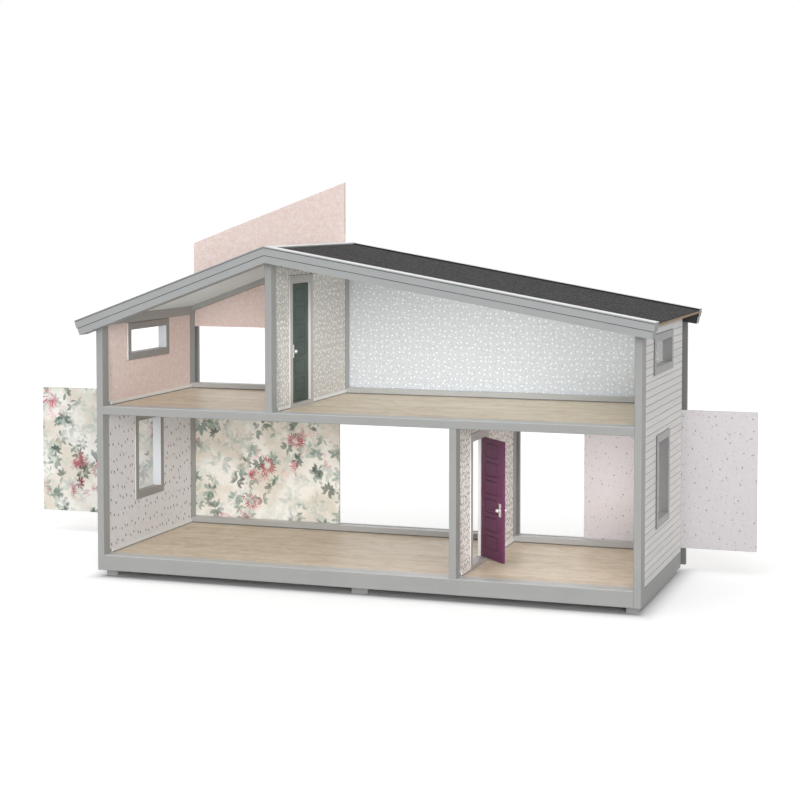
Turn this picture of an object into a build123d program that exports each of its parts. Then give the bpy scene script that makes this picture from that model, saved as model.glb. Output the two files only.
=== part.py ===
from build123d import *
import math
import os

# A four-room wooden dollhouse, open at the front, with a gable roof whose ridge stands left of the
# middle. The back of each room is closed by a thin board that slides in a slot between an inner and
# an outer rear frame. +X is to the right, +Y to the back and +Z up. The origin is the middle of the
# underside of the middle runner.

# ---- driving dimensions, in millimetres ----
HALF_WIDTH = 350.0  # outer face of a side wall
POST = 8.8  # posts and partitions, across the house
LINING = 0.8  # papered linings and floor sheets
PANEL = POST - LINING  # a side wall without its lining

POST_FRONT = -136.0
POST_BACK = -115.0
LINING_FRONT = -119.8  # the linings run into a rebate in the posts
EASED_EDGE = 0.5  # chamfer on the front edges of posts and rails
REAR_RAIL_FRONT = 122.0
SLOT = (136.7, 139.3)  # where the sliding boards run
OUTER_FRAME_BACK = 144.8
ROOF_REACH = 158.0  # bargeboards, before and behind the middle

RUNNERS = ((-345.0, -330.0), (-10.5, 10.5), (330.0, 345.0))  # across the house
RUNNER_TOP = 9.0
RUNNER_REACH = 121.0
BASE_BOARD = (19.0, 27.2)
BASE_RAIL_TOP = 28.5
REAR_BASE_RAIL_TOP = 36.0
MID_RAIL = (208.2, 218.5)
REAR_MID_RAIL_TOP = 225.5
UPPER_BOARD_TOP = 217.2
SKIRTING_HEIGHT = 5.8
SKIRTING_THICK = 2.1
SHEET_GAP = 0.8  # open joint round each floor sheet

LOWER_PARTITION = (118.8, 118.8 + POST)
UPPER_PARTITION = (-118.0, -118.0 + POST)

RIDGE = (-110.4, 421.2)
LEFT_EAVE = (-368.4, 325.9)
RIGHT_EAVE = (368.9, 338.3)
ROOF_PANEL = 3.2
SHINGLE = 0.8
CAP = (0.9, 2.3)  # heights above the roof line
UPPER_BARGE = (-8.2, 0.0)
LOWER_BARGE = (-17.3, -9.0)
GROOVE_DEPTH = 1.0
LOWER_BARGE_SETBACK = 0.2
LOWER_BARGE_SHORT = 1.0
GABLE_RAIL = 7.1

SIDING_PITCH = 8.8
SIDING_GROOVE = (0.8, 0.5)  # width and depth

WINDOW_Y = -8.0
WINDOW_FRAME = 9.0
WINDOW_PROUD = 1.5
LOWER_WINDOW = (82.0, 112.0, 142.3)  # outer width, outer height, height of the centre
UPPER_WINDOW = (120.0, 48.0, 296.0)

DOOR_Y = (-69.5, -9.3)  # the clear opening in a door frame
DOOR_FRAME = 9.0
DOOR_LINTEL = 10.0
DOOR_PROUD = 1.3
THRESHOLD = 6.0
DOOR_GAP = 0.8
LEAF_WIDTH = 59.0
LEAF_HEIGHT = 150.0
LEAF_THICK = 3.8
LEAF_SHIFT = 1.2  # from the middle of the partition towards +X
PIN_Y = -11.9
PIN_RADIUS = 0.8
PIN_CLEARANCE = 0.05
PIN_GRIP = 4.0  # length of a pin in the frame
PIN_REACH = 5.0  # length of a pin in the leaf
PIN_END_GAP = 0.2
LOWER_DOOR_ANGLE = 43.0  # how far the lower door stands open

FIELD = (33.0, 17.4)  # a raised field of a door leaf
FIELD_PITCH = 22.85
FIELD_COUNT = 6
FIRST_FIELD = 12.3
FIELD_GROOVE = (0.9, 0.45)  # width and depth

PLATE = (5.0, 16.5, 0.5)
PLATE_CORNER = 0.8
PLATE_INSET = 6.0
KNOB_HEIGHT = 65.0
KNOB_RADIUS = 2.4
KNOB_STAND_OFF = 3.75
STEM_RADIUS = 1.0

BOARD = (137.0, 139.0)
LOWER_BOARD_Z = (31.0, 210.2)
UPPER_BOARD_BOTTOM = 219.0
LOWER_LEFT_BOARD_WIDTH = 461.6
LOWER_LEFT_BOARD_HOME = -342.1
LOWER_LEFT_BOARD_SLID = 243.5
LOWER_RIGHT_BOARD_WIDTH = 225.0
LOWER_RIGHT_BOARD_HOME = 126.0
LOWER_RIGHT_BOARD_SLID = 93.4
UPPER_LEFT_BOARD = (-342.7, -115.7)
UPPER_LEFT_BOARD_RAISED = 84.8
UPPER_RIGHT_BOARD = (-112.7, 342.7)
BOARD_ABOVE_ROOF = 0.5
BOARD_PLAY = 0.3  # between a board's edge and the spacer that it slides along

OUTER_FRAME_HALF = 353.5
REAR_POST_OUTER = 346.0
CORNER_BATTEN = 15.5
BASE_BATTEN = (RUNNER_TOP, REAR_BASE_RAIL_TOP)
MID_BATTEN = (204.0, 224.0)
LOWER_BATTEN = (113.0, 131.0)
UPPER_BATTEN = (-123.0, -104.0)
CORNER_SPACER_INNER = 343.3

SCREW_X = (-320.0, -110.0, 90.0, 320.0)
SCREW_Z = (20.0, 214.5)
SCREW_RADIUS = 1.5
SCREW_HEAD = (3.0, 1.3)  # radius and height
SCREW_TIP = 126.0
RECESS = (3.6, 0.7, 0.8)  # length, width and depth of each arm of the cross in a screw's head

INNER = HALF_WIDTH - POST  # inner face of a side wall
PANEL_FACE = HALF_WIDTH - PANEL
SKIRTING_TOP = BASE_BOARD[1] + SKIRTING_HEIGHT
UPPER_SKIRTING_TOP = UPPER_BOARD_TOP + SKIRTING_HEIGHT
LOWER_ROOM = (SKIRTING_TOP, MID_RAIL[0])
LEFT_TOP_RAIL_BOTTOM = 321.0
RIGHT_TOP_RAIL_BOTTOM = 327.8
TOP_RAIL_THICK = 2.3

os.makedirs("parts", exist_ok=True)

# ---- the roof line ----
EAVE = {"left": LEFT_EAVE, "right": RIGHT_EAVE}
TURN = {"left": -1.0, "right": 1.0}
SLOPE = {side: math.atan2(RIDGE[1] - z, abs(x - RIDGE[0])) for side, (x, z) in EAVE.items()}


def ridge_at(above):
    """The ridge of the two planes that lie this far above the roof planes, square to them."""
    reach = above / math.cos((SLOPE["left"] + SLOPE["right"]) / 2)
    lean = (SLOPE["left"] - SLOPE["right"]) / 2
    return (RIDGE[0] - reach * math.sin(lean), RIDGE[1] + reach * math.cos(lean))


def eave_at(side, above, short=0.0):
    """The eave end of a plane above the roof plane, cut square to the slope and this much short."""
    x, z = EAVE[side]
    sine = math.sin(SLOPE[side])
    cosine = math.cos(SLOPE[side])
    turn = TURN[side]
    return (x + turn * (above * sine - short * cosine), z + above * cosine + short * sine)


def roof_z(x, above=0.0):
    """Height at x of the plane that lies this far above the roof plane."""
    side = "left" if x < ridge_at(above)[0] else "right"
    return RIDGE[1] - abs(x - RIDGE[0]) * math.tan(SLOPE[side]) + above / math.cos(SLOPE[side])


def slope_band(side, low, high, short=0.0):
    """Outline of a layer of the roof, from the eave to the ridge."""
    return [eave_at(side, low, short), eave_at(side, high, short), ridge_at(high), ridge_at(low)]


def under_roof(x_range, bottom, above=-ROOF_PANEL):
    """Outline of an upright piece that stands from bottom up to a plane of the roof."""
    left, right = x_range
    top = [(right, roof_z(right, above))]
    if left < ridge_at(above)[0] < right:
        top.append(ridge_at(above))
    return [(left, bottom), (right, bottom)] + top + [(left, roof_z(left, above))]


# ---- shapes that the pieces are built from; each adds to the part being made ----
def add_block(x_range, y_range, z_range, mode=Mode.ADD):
    """A square block, from its faces."""
    with BuildSketch(Plane.XY.offset(z_range[0])) as outline:
        with Locations((sum(x_range) / 2, sum(y_range) / 2)):
            Rectangle(x_range[1] - x_range[0], y_range[1] - y_range[0])
    extrude(outline.sketch, amount=z_range[1] - z_range[0], mode=mode)


def add_slab(points, y_range, mode=Mode.ADD):
    """A slab across the house, from its outline seen from the front."""
    with BuildSketch(Plane.XZ.offset(-y_range[1])) as outline:
        with BuildLine():
            Polyline(*points, close=True)
        make_face()
    extrude(outline.sketch, amount=y_range[1] - y_range[0], mode=mode)


def add_rod(x, z, y_range, radius, mode=Mode.ADD):
    """A round bar that runs from front to back."""
    with BuildSketch(Plane.XZ.offset(-y_range[1])) as outline:
        with Locations((x, z)):
            Circle(radius)
    extrude(outline.sketch, amount=y_range[1] - y_range[0], mode=mode)


def cut_screw_holes(heights):
    """The holes of the screws that hold the outer rear frame on."""
    for z in heights:
        for x in SCREW_X:
            add_rod(x, z, (SCREW_TIP, OUTER_FRAME_BACK), SCREW_RADIUS, Mode.SUBTRACT)


def mirrored(side, inner, outer):
    """The range from an inner to an outer distance, on the left or on the right."""
    return (-outer, -inner) if side == "left" else (inner, outer)


def window_span(window):
    """Depth range and height range of a window frame's outline."""
    width, height, centre = window
    return (WINDOW_Y - width / 2, WINDOW_Y + width / 2), (centre - height / 2, centre + height / 2)


def door_span(floor):
    """Depth range and height range of a door frame's outline."""
    top = floor + THRESHOLD + 2 * DOOR_GAP + LEAF_HEIGHT + DOOR_LINTEL
    return (DOOR_Y[0] - DOOR_FRAME, DOOR_Y[1] + DOOR_FRAME), (floor, top)


def shrink(span, margin):
    return (span[0] + margin, span[1] - margin)


# ---- base ----
with BuildPart() as base_runners:
    for inner, outer in RUNNERS:
        add_block((inner, outer), (-RUNNER_REACH, RUNNER_REACH), (0, RUNNER_TOP))
        bearer = (max(inner, -PANEL_FACE), min(outer, PANEL_FACE))
        add_block(bearer, (POST_BACK, RUNNER_REACH), (RUNNER_TOP, BASE_BOARD[0]))
base_runners.part.label = "base_runners"
export_step(base_runners.part, "parts/base_runners.step")

with BuildPart() as base_board:
    add_block((-PANEL_FACE, PANEL_FACE), (POST_BACK, REAR_RAIL_FRONT), BASE_BOARD)
base_board.part.label = "base_board"
export_step(base_board.part, "parts/base_board.step")

with BuildPart() as front_base_rail:
    add_block((-INNER, INNER), (POST_FRONT, POST_BACK), (RUNNER_TOP, BASE_RAIL_TOP))
    chamfer(front_base_rail.edges().filter_by(Axis.X).group_by(Axis.Y)[0], EASED_EDGE)
front_base_rail.part.label = "front_base_rail"
export_step(front_base_rail.part, "parts/front_base_rail.step")

with BuildPart() as rear_base_rail:
    add_block((-INNER, INNER), (REAR_RAIL_FRONT, SLOT[0]), (RUNNER_TOP, REAR_BASE_RAIL_TOP))
    cut_screw_holes(SCREW_Z[:1])
rear_base_rail.part.label = "rear_base_rail"
export_step(rear_base_rail.part, "parts/rear_base_rail.step")

for side in ("left", "right"):
    with BuildPart() as side_base_rail:
        across = mirrored(side, PANEL_FACE, HALF_WIDTH)
        add_block(across, (POST_BACK, REAR_RAIL_FRONT), (RUNNER_TOP, BASE_RAIL_TOP))
    side_base_rail.part.label = f"{side}_base_rail"
    export_step(side_base_rail.part, f"parts/{side}_base_rail.step")

# ---- posts and middle rails ----
REBATES = {"left": LEFT_TOP_RAIL_BOTTOM, "right": RIGHT_TOP_RAIL_BOTTOM}
for side, rebate_top in REBATES.items():
    with BuildPart() as front_post:
        across = mirrored(side, INNER, HALF_WIDTH)
        add_slab(under_roof(across, RUNNER_TOP), (POST_FRONT, POST_BACK))
        rebate = mirrored(side, INNER, PANEL_FACE)
        for heights in (LOWER_ROOM, (UPPER_SKIRTING_TOP, rebate_top)):
            add_block(rebate, (LINING_FRONT, POST_BACK), heights, Mode.SUBTRACT)
        chamfer(front_post.edges().filter_by(Axis.Z).group_by(Axis.Y)[0], EASED_EDGE)
    front_post.part.label = f"front_{side}_post"
    export_step(front_post.part, f"parts/front_{side}_post.step")

    with BuildPart() as rear_post:
        across = mirrored(side, INNER, REAR_POST_OUTER)
        add_slab(under_roof(across, RUNNER_TOP), (REAR_RAIL_FRONT, SLOT[0]))
    rear_post.part.label = f"rear_{side}_post"
    export_step(rear_post.part, f"parts/rear_{side}_post.step")

with BuildPart() as front_mid_rail:
    add_block((-INNER, INNER), (POST_FRONT, POST_BACK), MID_RAIL)
    chamfer(front_mid_rail.edges().filter_by(Axis.X).group_by(Axis.Y)[0], EASED_EDGE)
front_mid_rail.part.label = "front_mid_rail"
export_step(front_mid_rail.part, "parts/front_mid_rail.step")

with BuildPart() as rear_mid_rail:
    heights = (MID_RAIL[0], REAR_MID_RAIL_TOP)
    add_block((-INNER, INNER), (REAR_RAIL_FRONT, SLOT[0]), heights)
    cut_screw_holes(SCREW_Z[1:])
rear_mid_rail.part.label = "rear_mid_rail"
export_step(rear_mid_rail.part, "parts/rear_mid_rail.step")

with BuildPart() as upper_floor_board:
    heights = (MID_RAIL[0], UPPER_BOARD_TOP)
    add_block((-PANEL_FACE, PANEL_FACE), (POST_BACK, REAR_RAIL_FRONT), heights)
upper_floor_board.part.label = "upper_floor_board"
export_step(upper_floor_board.part, "parts/upper_floor_board.step")

# ---- partitions ----
CEILING = 500.0  # above the roof, for cuts that run out of it
STOREYS = {
    "lower": (LOWER_PARTITION, BASE_BOARD[1], BASE_RAIL_TOP, REAR_BASE_RAIL_TOP, LOWER_ROOM),
    "upper": (
        UPPER_PARTITION, UPPER_BOARD_TOP, MID_RAIL[1], REAR_MID_RAIL_TOP,
        (UPPER_SKIRTING_TOP, CEILING),
    ),
}


def storey_outline(storey, x_range, bottom):
    """Outline of an upright piece that fills a storey's height from bottom up."""
    if storey == "upper":
        return under_roof(x_range, bottom)
    left, right = x_range
    top = MID_RAIL[0]
    return [(left, bottom), (right, bottom), (right, top), (left, top)]


for storey, (across, floor, front_foot, rear_foot, lined) in STOREYS.items():
    with BuildPart() as partition_front_post:
        add_slab(storey_outline(storey, across, front_foot), (POST_FRONT, POST_BACK))
        for rebate in ((across[0], across[0] + LINING), (across[1] - LINING, across[1])):
            add_block(rebate, (LINING_FRONT, POST_BACK), lined, Mode.SUBTRACT)
        chamfer(partition_front_post.edges().filter_by(Axis.Z).group_by(Axis.Y)[0], EASED_EDGE)
    partition_front_post.part.label = f"{storey}_partition_front_post"
    export_step(partition_front_post.part, f"parts/{storey}_partition_front_post.step")

    with BuildPart() as partition_rear_post:
        add_slab(storey_outline(storey, across, rear_foot), (REAR_RAIL_FRONT, SLOT[0]))
    partition_rear_post.part.label = f"{storey}_partition_rear_post"
    export_step(partition_rear_post.part, f"parts/{storey}_partition_rear_post.step")

    with BuildPart() as partition_panel:
        core = shrink(across, LINING)
        add_slab(storey_outline(storey, core, floor), (POST_BACK, REAR_RAIL_FRONT))
        add_block(core, *door_span(floor), Mode.SUBTRACT)
    partition_panel.part.label = f"{storey}_partition_panel"
    export_step(partition_panel.part, f"parts/{storey}_partition_panel.step")

# ---- side walls with horizontal siding, and their windows ----
WINDOWS = {"lower": LOWER_WINDOW, "upper": UPPER_WINDOW}
for side in ("left", "right"):
    with BuildPart() as side_wall:
        across = mirrored(side, PANEL_FACE, HALF_WIDTH)
        add_slab(under_roof(across, BASE_RAIL_TOP), (POST_BACK, REAR_RAIL_FRONT))
        for window in WINDOWS.values():
            add_block(across, *window_span(window), Mode.SUBTRACT)
        groove_width, groove_depth = SIDING_GROOVE
        grooved = mirrored(side, HALF_WIDTH - groove_depth, HALF_WIDTH)
        height = BASE_RAIL_TOP + SIDING_PITCH
        while height < roof_z(across[0]) and height < roof_z(across[1]):
            span = (height - groove_width / 2, height + groove_width / 2)
            add_block(grooved, (POST_BACK, REAR_RAIL_FRONT), span, Mode.SUBTRACT)
            height += SIDING_PITCH
    side_wall.part.label = f"{side}_wall"
    export_step(side_wall.part, f"parts/{side}_wall.step")

    for storey, window in WINDOWS.items():
        with BuildPart() as window_frame:
            across = mirrored(side, INNER - WINDOW_PROUD, HALF_WIDTH + WINDOW_PROUD)
            depth, height = window_span(window)
            add_block(across, depth, height)
            opening = shrink(depth, WINDOW_FRAME), shrink(height, WINDOW_FRAME)
            add_block(across, *opening, Mode.SUBTRACT)
        window_frame.part.label = f"{storey}_{side}_window"
        export_step(window_frame.part, f"parts/{storey}_{side}_window.step")

with BuildPart() as wall_top_rails:
    for side, bottom in REBATES.items():
        across = mirrored(side, PANEL_FACE - TOP_RAIL_THICK, PANEL_FACE)
        add_slab(under_roof(across, bottom), (POST_BACK, REAR_RAIL_FRONT))
wall_top_rails.part.label = "wall_top_rails"
export_step(wall_top_rails.part, "parts/wall_top_rails.step")

# ---- papered linings, skirtings and floor sheets ----
ROOMS = {
    "lower_left": ("lower", "left"),
    "lower_right": ("lower", "right"),
    "upper_left": ("upper", "left"),
    "upper_right": ("upper", "right"),
}
LINING_DEPTH = (LINING_FRONT, REAR_RAIL_FRONT)
for room, (storey, side) in ROOMS.items():
    partition, floor, _, _, lined = STOREYS[storey]
    with BuildPart() as wallpaper:
        across = mirrored(side, INNER, PANEL_FACE)
        top = MID_RAIL[0] if storey == "lower" else REBATES[side]
        add_block(across, LINING_DEPTH, (lined[0], top))
        add_block(across, *window_span(WINDOWS[storey]), Mode.SUBTRACT)
        if side == "left":
            across = (partition[0], partition[0] + LINING)
        else:
            across = (partition[1] - LINING, partition[1])
        add_slab(storey_outline(storey, across, lined[0]), LINING_DEPTH)
        add_block(across, *door_span(floor), Mode.SUBTRACT)
    wallpaper.part.label = f"{room}_wallpaper"
    export_step(wallpaper.part, f"parts/{room}_wallpaper.step")

    with BuildPart() as floor_sheet:
        if side == "left":
            across = (SKIRTING_THICK - PANEL_FACE, partition[0] + LINING - SKIRTING_THICK)
        else:
            across = (partition[1] - LINING + SKIRTING_THICK, PANEL_FACE - SKIRTING_THICK)
        depth = shrink((POST_BACK, REAR_RAIL_FRONT), SHEET_GAP)
        add_block(shrink(across, SHEET_GAP), depth, (floor, floor + LINING))
    floor_sheet.part.label = f"{room}_floor_sheet"
    export_step(floor_sheet.part, f"parts/{room}_floor_sheet.step")

with BuildPart() as skirtings:
    for partition, floor, *_ in STOREYS.values():
        heights = (floor, floor + SKIRTING_HEIGHT)
        for side in ("left", "right"):
            across = mirrored(side, PANEL_FACE - SKIRTING_THICK, PANEL_FACE)
            add_block(across, (POST_BACK, REAR_RAIL_FRONT), heights)
        frame_depth, _ = door_span(floor)
        core = shrink(partition, LINING)
        for across in ((core[0] - SKIRTING_THICK, core[0]), (core[1], core[1] + SKIRTING_THICK)):
            add_block(across, (POST_BACK, frame_depth[0]), heights)
            add_block(across, (frame_depth[1], REAR_RAIL_FRONT), heights)
skirtings.part.label = "skirtings"
export_step(skirtings.part, "parts/skirtings.step")

# ---- doors ----
DOORS = {"lower": LOWER_DOOR_ANGLE, "upper": 0.0}
for storey, angle in DOORS.items():
    partition, floor, *_ = STOREYS[storey]
    pin_x = sum(partition) / 2 + LEAF_SHIFT
    leaf_bottom = floor + THRESHOLD + DOOR_GAP
    leaf_top = leaf_bottom + LEAF_HEIGHT
    swing = math.radians(angle)
    out = (math.sin(swing), -math.cos(swing), 0)  # from the pin to the free edge
    level = Plane(origin=(pin_x, PIN_Y, leaf_bottom), x_dir=out, z_dir=(0, 0, 1))
    upright = Plane(
        origin=(pin_x, PIN_Y, leaf_bottom), x_dir=out, z_dir=(-math.cos(swing), -math.sin(swing), 0)
    )
    free_edge = LEAF_WIDTH - LEAF_THICK / 2

    with BuildPart() as door_frame:
        proud = shrink(partition, -DOOR_PROUD)
        depth, height = door_span(floor)
        add_block(proud, depth, height)
        clear = (leaf_bottom - DOOR_GAP, leaf_top + DOOR_GAP)
        add_block(proud, DOOR_Y, clear, Mode.SUBTRACT)
        for z in (clear[0] - PIN_GRIP, clear[1]):
            with BuildSketch(Plane.XY.offset(z)) as hole:
                with Locations((pin_x, PIN_Y)):
                    Circle(PIN_RADIUS)
            extrude(hole.sketch, amount=PIN_GRIP, mode=Mode.SUBTRACT)
    door_frame.part.label = f"{storey}_door_frame"
    export_step(door_frame.part, f"parts/{storey}_door_frame.step")

    with BuildPart() as door_leaf:
        with BuildSketch(level):
            Circle(LEAF_THICK / 2)
            with Locations((free_edge / 2, 0)):
                Rectangle(free_edge, LEAF_THICK)
        extrude(amount=LEAF_HEIGHT)
        middle = (free_edge - LEAF_THICK / 2) / 2
        fields_centre = FIRST_FIELD + FIELD[1] / 2 + FIELD_PITCH * (FIELD_COUNT - 1) / 2
        for face in (1, -1):
            with BuildSketch(upright.offset(face * LEAF_THICK / 2)):
                with Locations((middle, fields_centre)):
                    with GridLocations(0, FIELD_PITCH, 1, FIELD_COUNT):
                        Rectangle(*FIELD)
                        Rectangle(*(size - 2 * FIELD_GROOVE[0] for size in FIELD), mode=Mode.SUBTRACT)
            extrude(amount=-face * FIELD_GROOVE[1], mode=Mode.SUBTRACT)
        for end in (0, LEAF_HEIGHT - PIN_REACH):
            with BuildSketch(level.offset(end)):
                Circle(PIN_RADIUS + PIN_CLEARANCE)
            extrude(amount=PIN_REACH, mode=Mode.SUBTRACT)
    door_leaf.part.label = f"{storey}_door_leaf"
    export_step(door_leaf.part, f"parts/{storey}_door_leaf.step")

    with BuildPart() as door_pins:
        pin_length = PIN_GRIP + DOOR_GAP + PIN_REACH - PIN_END_GAP
        for start in (-DOOR_GAP - PIN_GRIP, LEAF_HEIGHT - PIN_REACH + PIN_END_GAP):
            with BuildSketch(level.offset(start)):
                Circle(PIN_RADIUS)
            extrude(amount=pin_length)
    door_pins.part.label = f"{storey}_door_pins"
    export_step(door_pins.part, f"parts/{storey}_door_pins.step")

    with BuildPart() as door_knobs:
        spot = (free_edge - PLATE_INSET, KNOB_HEIGHT)
        for face in (1, -1):
            with BuildSketch(upright.offset(face * LEAF_THICK / 2)):
                with Locations(spot):
                    RectangleRounded(PLATE[0], PLATE[1], PLATE_CORNER)
            extrude(amount=face * PLATE[2])
            with BuildSketch(upright.offset(face * LEAF_THICK / 2)):
                with Locations(spot):
                    Circle(STEM_RADIUS)
            extrude(amount=face * KNOB_STAND_OFF)
            with Locations(upright.offset(face * (LEAF_THICK / 2 + KNOB_STAND_OFF))):
                with Locations((spot[0], spot[1], 0)):
                    Sphere(KNOB_RADIUS)
    door_knobs.part.label = f"{storey}_door_knobs"
    export_step(door_knobs.part, f"parts/{storey}_door_knobs.step")

# ---- roof ----
for side in ("left", "right"):
    with BuildPart() as roof_panel:
        add_slab(slope_band(side, -ROOF_PANEL, 0), (POST_FRONT, SLOT[0]))
    roof_panel.part.label = f"{side}_roof_panel"
    export_step(roof_panel.part, f"parts/{side}_roof_panel.step")

    with BuildPart() as shingle_sheet:
        add_slab(slope_band(side, 0, SHINGLE), (POST_FRONT, SLOT[0]))
    shingle_sheet.part.label = f"{side}_shingle_sheet"
    export_step(shingle_sheet.part, f"parts/{side}_shingle_sheet.step")

    for end, back, outward in (("front", POST_FRONT, -1), ("rear", SLOT[1], 1)):
        with BuildPart() as bargeboard:
            skin = outward * (ROOF_REACH - GROOVE_DEPTH)
            add_slab(slope_band(side, LOWER_BARGE[0], CAP[1], LOWER_BARGE_SHORT), sorted((back, skin)))
            face = outward * ROOF_REACH
            add_slab(slope_band(side, *CAP), sorted((back, face)))
            add_slab(slope_band(side, *UPPER_BARGE), sorted((back, face)))
            face -= outward * LOWER_BARGE_SETBACK
            add_slab(slope_band(side, *LOWER_BARGE, LOWER_BARGE_SHORT), sorted((back, face)))
        bargeboard.part.label = f"{end}_{side}_bargeboard"
        export_step(bargeboard.part, f"parts/{end}_{side}_bargeboard.step")

RIDGE_STRIP_REACH = 8.0
with BuildPart() as ridge_strip:
    outline = [ridge_at(SHINGLE)]
    for side, levels in (("left", (SHINGLE, CAP[1])), ("right", (CAP[1], SHINGLE))):
        reach = RIDGE_STRIP_REACH * math.cos(SLOPE[side])
        x = RIDGE[0] + TURN[side] * reach
        outline += [(x, roof_z(x, above)) for above in levels]
        if side == "left":
            outline.append(ridge_at(CAP[1]))
    add_slab(outline, (POST_FRONT, SLOT[0]))
ridge_strip.part.label = "ridge_strip"
export_step(ridge_strip.part, "parts/ridge_strip.step")

with BuildPart() as rear_gable_rails:
    for left, right in ((-INNER, UPPER_PARTITION[0]), (UPPER_PARTITION[1], INNER)):
        top = [(x, roof_z(x, -ROOF_PANEL)) for x in (right, left)]
        bottom = [(x, z - GABLE_RAIL) for x, z in reversed(top)]
        add_slab(bottom + top, (REAR_RAIL_FRONT, SLOT[0]))
rear_gable_rails.part.label = "rear_gable_rails"
export_step(rear_gable_rails.part, "parts/rear_gable_rails.step")

# ---- outer rear frame, its spacers and its screws ----
with BuildPart() as rear_outer_frame:
    thick = (SLOT[1], OUTER_FRAME_BACK)
    whole = (-OUTER_FRAME_HALF, OUTER_FRAME_HALF)
    add_block(whole, thick, BASE_BATTEN)
    add_block(whole, thick, MID_BATTEN)
    add_block(LOWER_BATTEN, thick, (BASE_BATTEN[0], MID_BATTEN[1]))
    add_slab(under_roof(UPPER_BATTEN, MID_BATTEN[0], LOWER_BARGE[0]), thick)
    for side in ("left", "right"):
        across = mirrored(side, OUTER_FRAME_HALF - CORNER_BATTEN, OUTER_FRAME_HALF)
        add_slab(under_roof(across, RUNNER_TOP, LOWER_BARGE[0]), thick)
    cut_screw_holes(SCREW_Z)
rear_outer_frame.part.label = "rear_outer_frame"
export_step(rear_outer_frame.part, "parts/rear_outer_frame.step")

SPACER_TOP = LOWER_BOARD_Z[0] - BOARD_PLAY
MID_SPACER = (LOWER_BOARD_Z[1] + BOARD_PLAY, UPPER_BOARD_BOTTOM - BOARD_PLAY)
LOWER_STOP = (120.0, 125.5)
UPPER_STOP = (-115.4, -113.0)
EAVE_RECESS = 3.0
with BuildPart() as rear_spacers:
    add_block((-REAR_POST_OUTER, REAR_POST_OUTER), SLOT, (RUNNER_TOP, SPACER_TOP))
    add_block((-CORNER_SPACER_INNER, CORNER_SPACER_INNER), SLOT, MID_SPACER)
    add_block(LOWER_STOP, SLOT, (SPACER_TOP, MID_SPACER[0]))
    add_slab(under_roof(UPPER_STOP, MID_SPACER[1], 0), SLOT)
    for side in ("left", "right"):
        across = mirrored(side, CORNER_SPACER_INNER, REAR_POST_OUTER)
        add_slab(under_roof(across, MID_SPACER[0], 0), SLOT)
        inner = across[0] if side == "right" else across[1]
        eave = [eave_at(side, above, EAVE_RECESS) for above in (LOWER_BARGE[0], 0)]
        add_slab([(inner, roof_z(inner, LOWER_BARGE[0]))] + eave + [(inner, roof_z(inner))], SLOT)
    cut_screw_holes(SCREW_Z)
rear_spacers.part.label = "rear_spacers"
export_step(rear_spacers.part, "parts/rear_spacers.step")

with BuildPart() as rear_frame_screws:
    head_radius, head_height = SCREW_HEAD
    head_top = OUTER_FRAME_BACK + head_height
    for z in SCREW_Z:
        for x in SCREW_X:
            add_rod(x, z, (SCREW_TIP, OUTER_FRAME_BACK), SCREW_RADIUS)
            add_rod(x, z, (OUTER_FRAME_BACK, head_top), head_radius)
            recess = (head_top - RECESS[2], head_top)
            for wide, high in (RECESS[:2], RECESS[1::-1]):
                across = (x - wide / 2, x + wide / 2)
                add_block(across, recess, (z - high / 2, z + high / 2), Mode.SUBTRACT)
rear_frame_screws.part.label = "rear_frame_screws"
export_step(rear_frame_screws.part, "parts/rear_frame_screws.step")

# ---- sliding back boards ----
with BuildPart() as lower_left_board:
    left = LOWER_LEFT_BOARD_HOME - LOWER_LEFT_BOARD_SLID
    add_block((left, left + LOWER_LEFT_BOARD_WIDTH), BOARD, LOWER_BOARD_Z)
lower_left_board.part.label = "lower_left_board"
export_step(lower_left_board.part, "parts/lower_left_board.step")

with BuildPart() as lower_right_board:
    left = LOWER_RIGHT_BOARD_HOME + LOWER_RIGHT_BOARD_SLID
    add_block((left, left + LOWER_RIGHT_BOARD_WIDTH), BOARD, LOWER_BOARD_Z)
lower_right_board.part.label = "lower_right_board"
export_step(lower_right_board.part, "parts/lower_right_board.step")

RAISED = {
    "upper_left_board": (UPPER_LEFT_BOARD, UPPER_LEFT_BOARD_RAISED),
    "upper_right_board": (UPPER_RIGHT_BOARD, 0.0),
}
for name, (across, raised) in RAISED.items():
    with BuildPart() as upper_board:
        home = under_roof(across, UPPER_BOARD_BOTTOM, BOARD_ABOVE_ROOF)
        add_slab([(x, z + raised) for x, z in home], BOARD)
    upper_board.part.label = name
    export_step(upper_board.part, f"parts/{name}.step")
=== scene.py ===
import math

import bmesh
import bpy
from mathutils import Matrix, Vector


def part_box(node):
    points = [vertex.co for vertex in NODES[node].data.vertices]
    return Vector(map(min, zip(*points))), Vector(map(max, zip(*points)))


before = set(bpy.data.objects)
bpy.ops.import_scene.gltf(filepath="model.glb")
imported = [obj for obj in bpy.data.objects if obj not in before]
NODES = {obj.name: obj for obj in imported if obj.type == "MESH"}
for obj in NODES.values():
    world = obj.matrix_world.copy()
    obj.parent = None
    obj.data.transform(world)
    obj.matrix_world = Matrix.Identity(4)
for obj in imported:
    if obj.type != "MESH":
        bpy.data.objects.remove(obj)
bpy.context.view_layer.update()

MM = 0.001
FRAME_SHADE = 1.1 * MM  # width of the painted shade round a frame
FOOT_SHADE = 1.2 * MM  # height of the painted shade line at a floor
SIDING_PITCH = 8.8 * MM  # from board to board
SIDE_WALLS = 0.3  # further out than this, a paper is on a side wall
SLOT_SHADE = 9.0 * MM  # width of the black painted shade at the edge of the roof along the board slot


# ---------------------------------------------------------------- colours and node trees
def srgb(red, green, blue):
    """A colour as a screen shows it, 0 to 255 a channel, as the linear values that shaders take."""
    def linear(value):
        value /= 255
        return value / 12.92 if value <= 0.04045 else ((value + 0.055) / 1.055) ** 2.4
    return (linear(red), linear(green), linear(blue), 1.0)


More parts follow.
